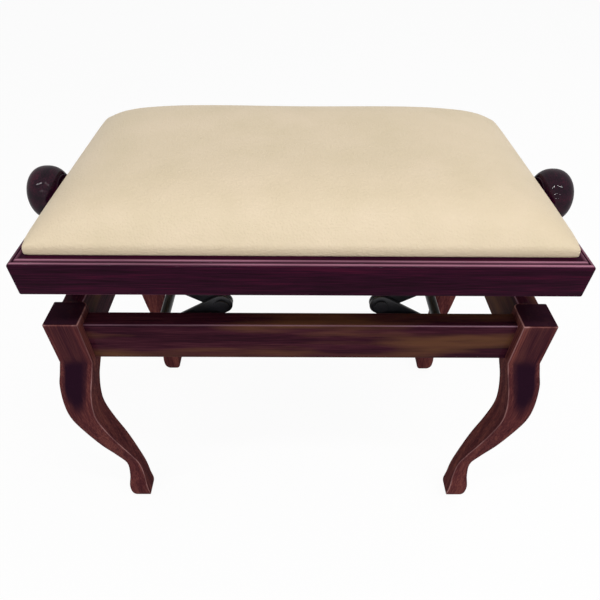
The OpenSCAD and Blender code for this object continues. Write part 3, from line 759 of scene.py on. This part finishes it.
def pull_folds(points, middle, half, base, height):
    """Gathers at the four corners: the cover is drawn in by a crease near each corner's diagonal, a
    cosine of the angle round the corner, which fades out up to the height above the base."""
    moved = points.copy()
    away = moved[:, :2] - middle[:2]
    # Distances and angles are taken about a centre 14 mm in from both sides of the corner. The crease
    # is deepest 12 mm from it, and the cosine repeats after 12 * 2 pi = 75 degrees.
    dx, dy = (np.abs(away) - (half[:2] - 14 * MM)).T
    angle = np.arctan2(dy, dx)
    fade = np.exp(-((np.hypot(dx, dy) - 12 * MM) / (9 * MM)) ** 2) * (dx > -8 * MM) * (dy > -8 * MM)
    crease = 0.5 - 0.5 * np.cos(angle / np.radians(12))
    diagonal = np.exp(-((np.degrees(angle) - 45) / 30) ** 2)
    level = np.clip((moved[:, 2] - base) / height, 0, 1)
    depth = 1.6 * MM * fade * diagonal * crease * (1 - level) ** 0.5
    moved[:, :2] -= np.stack([np.cos(angle), np.sin(angle)], -1) * np.sign(away) * depth[:, None]
    return moved


class BENCH_OT_cushion(bpy.types.Operator):
    """The cushion: a blank swelled as cloth, with gathered corners, over the seat board"""
    bl_idname = "bench.cushion"
    bl_label = "Cushion"

    def execute(self, context):
        low, high = node_box("cushion_cover")
        base = low[2]
        # The cover bulges 4 mm further over the frame's ledge at the two ends, and 1 mm at the others.
        side = np.array([-4, -1, 0]) * MM
        low, high = low + side, high - side
        crown = high[2] - base - 12 * MM
        points, faces = pillow(low, high, edge=11 * MM, crown=crown, shoulder=(28 * MM, 20 * MM), cols=133,
                               rows=75)
        obj = new_object("cushion", points, faces, leatherette(), "seat")
        face_outwards(obj)
        inflate(obj, base, settings().cushion_swell)
        relax(obj, base)
        middle, half = (low + high) / 2, (high - low) / 2
        shaped = tuck(coordinates(obj.data), middle, half, base)
        shaped = pull_folds(shaped, middle, half, base, 14 * MM)
        obj.data.vertices.foreach_set("co", shaped.ravel())
        obj.data.update()
        obj.data.shade_smooth()
        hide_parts("cushion_cover", "cushion_foam")
        return {"FINISHED"}


# ---------------------------------------------------------------- knobs and drive screw

class BENCH_OT_knobs(bpy.types.Operator):
    """Two turned knobs: a short neck and a rounded bulb with a flat back"""
    bl_idname = "bench.knobs"
    bl_label = "Knobs"

    def execute(self, context):
        for node, sign in (("left_knob", -1), ("right_knob", 1)):
            low, high = node_box(node)
            inner = min(abs(low[0]), abs(high[0]))
            length = high[0] - low[0]
            radius = (high[2] - low[2]) / 2
            # The bulb is an oval whose sines and cosines are raised to 0.85, which makes it fuller. It
            # is half_length long on either side of its widest place and cut off at 48 degrees behind.
            half_length = 22.5 * MM
            fullness = 0.85
            t = np.radians(np.linspace(-48, 89, 44))
            bulb = np.column_stack([length - half_length
                                    + half_length * np.sign(t) * np.abs(np.sin(t)) ** fullness,
                                    radius * np.cos(t) ** fullness])
            neck = np.array([[0, 6.2], [0, 12], [0.4, 12.7], [1, 13], [2, 13], [2, 19]]) * MM
            back = arc(bulb[0, 0] + 1 * MM, bulb[0, 1] - 2.6 * MM, 2 * MM, 180, 110, 5)
            rings = turned(np.vstack([neck, back, bulb]), 72)
            rings[:, :, 0] = sign * (inner + rings[:, :, 0])
            rings[:, :, 2] += (low[2] + high[2]) / 2
            obj = tube_object(node + "_turned", rings, knob_wood(), "screw", 40)
            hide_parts(node)
        return {"FINISHED"}


ROD_SIDES = 40


def threaded_rod(x, radius, pitch, hand):
    """Rod along X whose radius falls from its crest by a trapezoid wave of the turn count, x over
    pitch plus or minus the angle over a full turn, which is a single-start thread of that hand. The
    thread fades out over two turns at each end."""
    t = np.linspace(0, 2 * math.pi, ROD_SIDES, endpoint=False)
    turn = (x[:, None] / pitch + hand * t[None, :] / (2 * math.pi)) % 1
    depth = 0.45 * pitch
    wave = np.clip(np.abs(turn - 0.5) * 5 - 0.65, 0, 1)
    ends = np.clip(np.minimum(x - x[0], x[-1] - x)[:, None] / (2 * pitch), 0, 1)
    r = radius - depth * (1 - wave) * ends
    return np.stack([np.repeat(x[:, None], ROD_SIDES, 1), r * np.cos(t), r * np.sin(t)], -1)


class BENCH_OT_drive_screw(bpy.types.Operator):
    """The drive screw: a plain rod with a left-hand thread at one nut and a right-hand one at the other"""
    bl_idname = "bench.drive_screw"
    bl_label = "Drive screw"

    def execute(self, context):
        low, high = node_box("drive_screw")
        axis_z = (low[2] + high[2]) / 2
        radius = (high[2] - low[2]) / 2
        pitch = settings().thread_pitch
        # The thread goes on past both faces of the nut, further than the nut travels.
        nut_low, nut_high = node_box("right_nut")
        run_out = 22 * MM
        start, stop = nut_low[0] - run_out, nut_high[0] + run_out
        steps_per_turn = 9
        steel = plated_steel("Drawn plated steel along X", "X")
        for name, sign in (("left", -1), ("right", 1)):
            rings = threaded_rod(np.arange(start, stop, pitch / steps_per_turn), radius, pitch, sign)
            rings[:, :, 0] *= sign
            rings[:, :, 2] += axis_z
            tube_object("drive_screw_thread_" + name, rings, steel, "screw", 50)
        chamfer = 0.8 * MM
        for name, x0, x1 in (("left", -high[0], -stop), ("middle", -start, start), ("right", stop, high[0])):
            rings = turned([(x0, radius - chamfer), (x0 + chamfer, radius),
                            (x1 - chamfer, radius), (x1, radius - chamfer)], ROD_SIDES)
            rings[:, :, 2] += axis_z
            obj = tube_object("drive_screw_plain_" + name, rings, steel, "screw", 30)
            if name == "middle":
                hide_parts("drive_screw")
        return {"FINISHED"}


# ---------------------------------------------------------------- steel lift

def obround_plate(start, stop, half_width, y0, y1, edge):
    """Flat bar with round ends in the XZ plane: two half circles about start and stop, swept from y0
    to y1, and drawn in by a quarter circle of radius edge at both faces."""
    per_end = 25
    heading = math.degrees(math.atan2(stop[1] - start[1], stop[0] - start[0]))
    turn = np.radians(np.concatenate([np.linspace(heading + 90, heading + 270, per_end),
                                      np.linspace(heading - 90, heading + 90, per_end)]))
    centre = np.repeat([start, stop], per_end, 0)
    t = np.radians(np.linspace(0, 90, 4))
    levels = np.concatenate([y0 + edge * (1 - np.cos(t)), (y1 - edge * (1 - np.cos(t)))[::-1]])
    inset = edge * (1 - np.sin(t))
    radius = half_width - np.concatenate([inset, inset[::-1]])[:, None]
    x = centre[None, :, 0] + radius * np.cos(turn)
    z = centre[None, :, 1] + radius * np.sin(turn)
    y = np.repeat(levels[:, None], len(turn), 1)
    return np.stack([x, y, z], -1)


class BENCH_OT_lift_arms(bpy.types.Operator):
    """The eight flat lift arms, with eased edges and round ends"""
    bl_idname = "bench.lift_arms"
    bl_label = "Lift arms"

    def execute(self, context):
        for side in ("left", "right"):
            for level in ("lower", "upper"):
                pivot = sum(node_box(f"{side}_{level}_shaft")) / 2
                knee = sum(node_box(f"{side}_knee_shaft")) / 2
                for end in ("front", "rear"):
                    node = f"{side}_{level}_{end}_arm"
                    low, high = node_box(node)
                    half_width = min(pivot[0] - low[0], high[0] - pivot[0])
                    rings = obround_plate(pivot[[0, 2]], knee[[0, 2]], half_width, low[1], high[1],
                                          edge=0.7 * MM)
                    obj = tube_object(node + "_pressed", rings, black_paint(), f"{side}_{level}_arms",
                                      40)
                    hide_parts(node)
        return {"FINISHED"}


class BENCH_OT_hardware(bpy.types.Operator):
    """Finishes for the frame's own solids: shafts, brackets, screws, nuts, blocks and board"""
    bl_idname = "bench.hardware"
    bl_label = "Hardware finishes"

    def execute(self, context):
        bolts = plated_steel("Plated screw steel", "Z")
        board = bare_wood("Sanded birch plywood", "X", "B58E5C", "D2B07C")
        blocks = bare_wood("Stained beech block", "Z", "3B1712", "57271D")
        finish = {
            "corner_blocks": blocks, "leg_bolts": bolts, "lower_brackets": black_paint(),
            "lower_bracket_screws": bolts, "seat_board": board, "left_bush": turned_brass(),
            "right_bush": turned_brass(), "upper_brackets": black_paint(), "upper_bracket_screws": bolts,
            "seat_frame_screws": bolts, "knob_pins": bolts, "screw_collars": black_paint(),
        }
        for side in ("left", "right"):
            finish[side + "_nut"] = turned_brass()
            finish[side + "_knee_collars"] = black_paint()
            finish[side + "_fork_levers"] = black_paint()
            for shaft in ("lower", "upper", "knee"):
                finish[f"{side}_{shaft}_shaft"] = black_paint()
        for node, material in finish.items():
            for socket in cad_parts[node].material_slots:
                socket.material = material
        return {"FINISHED"}


# ---------------------------------------------------------------- stage

class BENCH_OT_stage(bpy.types.Operator):
    """Plain pale floor, soft lamps and the camera"""
    bl_idname = "bench.stage"
    bl_label = "Stage"

    def execute(self, context):
        scene = context.scene
        scene.view_settings.view_transform = "Standard"
        self.make_floor()
        self.make_world(scene)
        # Name, place, tilt and turn in degrees, size, power, and whether mirror reflections show the lamp.
        lamps = [("Soft overhead", (1.5, 0.1, 2.7), (0, 0), (1.6, 3.2), 27, False),
                 ("Soft front", (0.2, -3.2, 1.3), (85, 0), (2.4, 1.6), 20, False)]
        # Pairs of short ceiling tubes, splayed, for the thin highlights on turned lacquer.
        for row, y, splay, power in ((1, -0.85, 12, 14), (2, -2.9, 10, 15), (3, -6, 0, 13)):
            for side, sign in (("left", -1), ("right", 1)):
                lamps.append((f"Ceiling tube {row} {side}", (0.86 * sign - 0.1, y, 2.6),
                              (0, -splay * sign), (1.3, 0.022), power, True))
        for name, place, (tilt, turn), size, power, mirrored in lamps:
            lamp = bpy.data.lights.new(name, "AREA")
            lamp.shape = "RECTANGLE"
            lamp.size, lamp.size_y = size
            lamp.energy = power
            obj = bpy.data.objects.new(name, lamp)
            obj.location = place
            obj.rotation_euler = (math.radians(tilt), 0, math.radians(turn))
            obj.visible_glossy = mirrored
            scene.collection.objects.link(obj)
        view = bpy.data.cameras.new("Camera")
        view.sensor_width = 36
        view.lens = 29.95
        camera = bpy.data.objects.new("Camera", view)
        camera.location = (-0.0058, -0.5333, 0.7941)
        camera.rotation_euler = [math.radians(d) for d in (47.445, -0.481, -0.171)]
        scene.collection.objects.link(camera)
        scene.camera = camera
        return {"FINISHED"}

    def seen(self, tree):
        """1 for a ray from the camera, a mirror reflection or a view through glass, else 0."""
        path = add(tree, "ShaderNodeLightPath").outputs
        direct = combine(tree, "MAXIMUM", path["Is Camera Ray"], path["Is Glossy Ray"])
        return combine(tree, "MAXIMUM", direct, path["Is Transmission Ray"])

    def make_floor(self):
        """A flat floor that is white to the camera apart from a share of its real shading."""
        half, white_share = 6.0, 0.94
        mesh = bpy.data.meshes.new("floor")
        mesh.from_pydata([(-half, -half, 0), (half, -half, 0), (half, half, 0), (-half, half, 0)], [],
                         [(0, 1, 2, 3)])
        floor = bpy.data.objects.new("floor", mesh)
        bpy.context.scene.collection.objects.link(floor)
        material, tree, shader = new_material(
            "Matt white studio floor", {"Base Color": (*settings().floor_colour, 1), "Roughness": 0.9})
        white = add(tree, "ShaderNodeEmission", Color=(1, 1, 1, 1), Strength=1.0)
        share = combine(tree, "MULTIPLY", self.seen(tree), white_share)
        mixed = add(tree, "ShaderNodeMixShader", {0: share, 1: shader.outputs["BSDF"],
                                                  2: white.outputs["Emission"]})
        output = next(node for node in tree.nodes if node.type == "OUTPUT_MATERIAL")
        tree.links.new(mixed.outputs["Shader"], output.inputs["Surface"])
        mesh.materials.append(material)

    def make_world(self, scene):
        """A pale room that lights softly and shows white to the camera."""
        world = bpy.data.worlds.new("Pale room")
        world.use_nodes = True
        tree = world.node_tree
        tree.nodes.clear()
        soft = add(tree, "ShaderNodeBackground", Color=linear("DADCE0"), Strength=0.45)
        white = add(tree, "ShaderNodeBackground", Color=(1, 1, 1, 1), Strength=1.0)
        mixed = add(tree, "ShaderNodeMixShader", {0: self.seen(tree), 1: soft.outputs["Background"],
                                                  2: white.outputs["Background"]})
        add(tree, "ShaderNodeOutputWorld", {"Surface": mixed.outputs[0]})
        scene.world = world


# ---------------------------------------------------------------- panel and registration

class BENCH_PT_panel(bpy.types.Panel):
    bl_label = "Piano bench"
    bl_idname = "BENCH_PT_panel"
    bl_space_type = "VIEW_3D"
    bl_region_type = "UI"
    bl_category = "Piano bench"

    def draw(self, context):
        values = context.scene.piano_bench
        for key in ("arris_radius", "leg_softness", "cushion_swell", "thread_pitch", "floor_colour"):
            self.layout.prop(values, key)
        for step in STEPS:
            self.layout.operator(step.bl_idname)


STEPS = (BENCH_OT_legs, BENCH_OT_base_rails, BENCH_OT_seat_frame, BENCH_OT_cushion, BENCH_OT_knobs,
         BENCH_OT_drive_screw, BENCH_OT_lift_arms, BENCH_OT_hardware, BENCH_OT_stage)
CLASSES = (BenchSettings, *STEPS, BENCH_PT_panel)


def register():
    for cls in CLASSES:
        bpy.utils.register_class(cls)
    bpy.types.Scene.piano_bench = PointerProperty(type=BenchSettings)


def unregister():
    del bpy.types.Scene.piano_bench
    for cls in reversed(CLASSES):
        bpy.utils.unregister_class(cls)


def main():
    register()
    for step in STEPS:
        group, name = step.bl_idname.split(".")
        getattr(getattr(bpy.ops, group), name)()


if __name__ == "__main__":
    main()
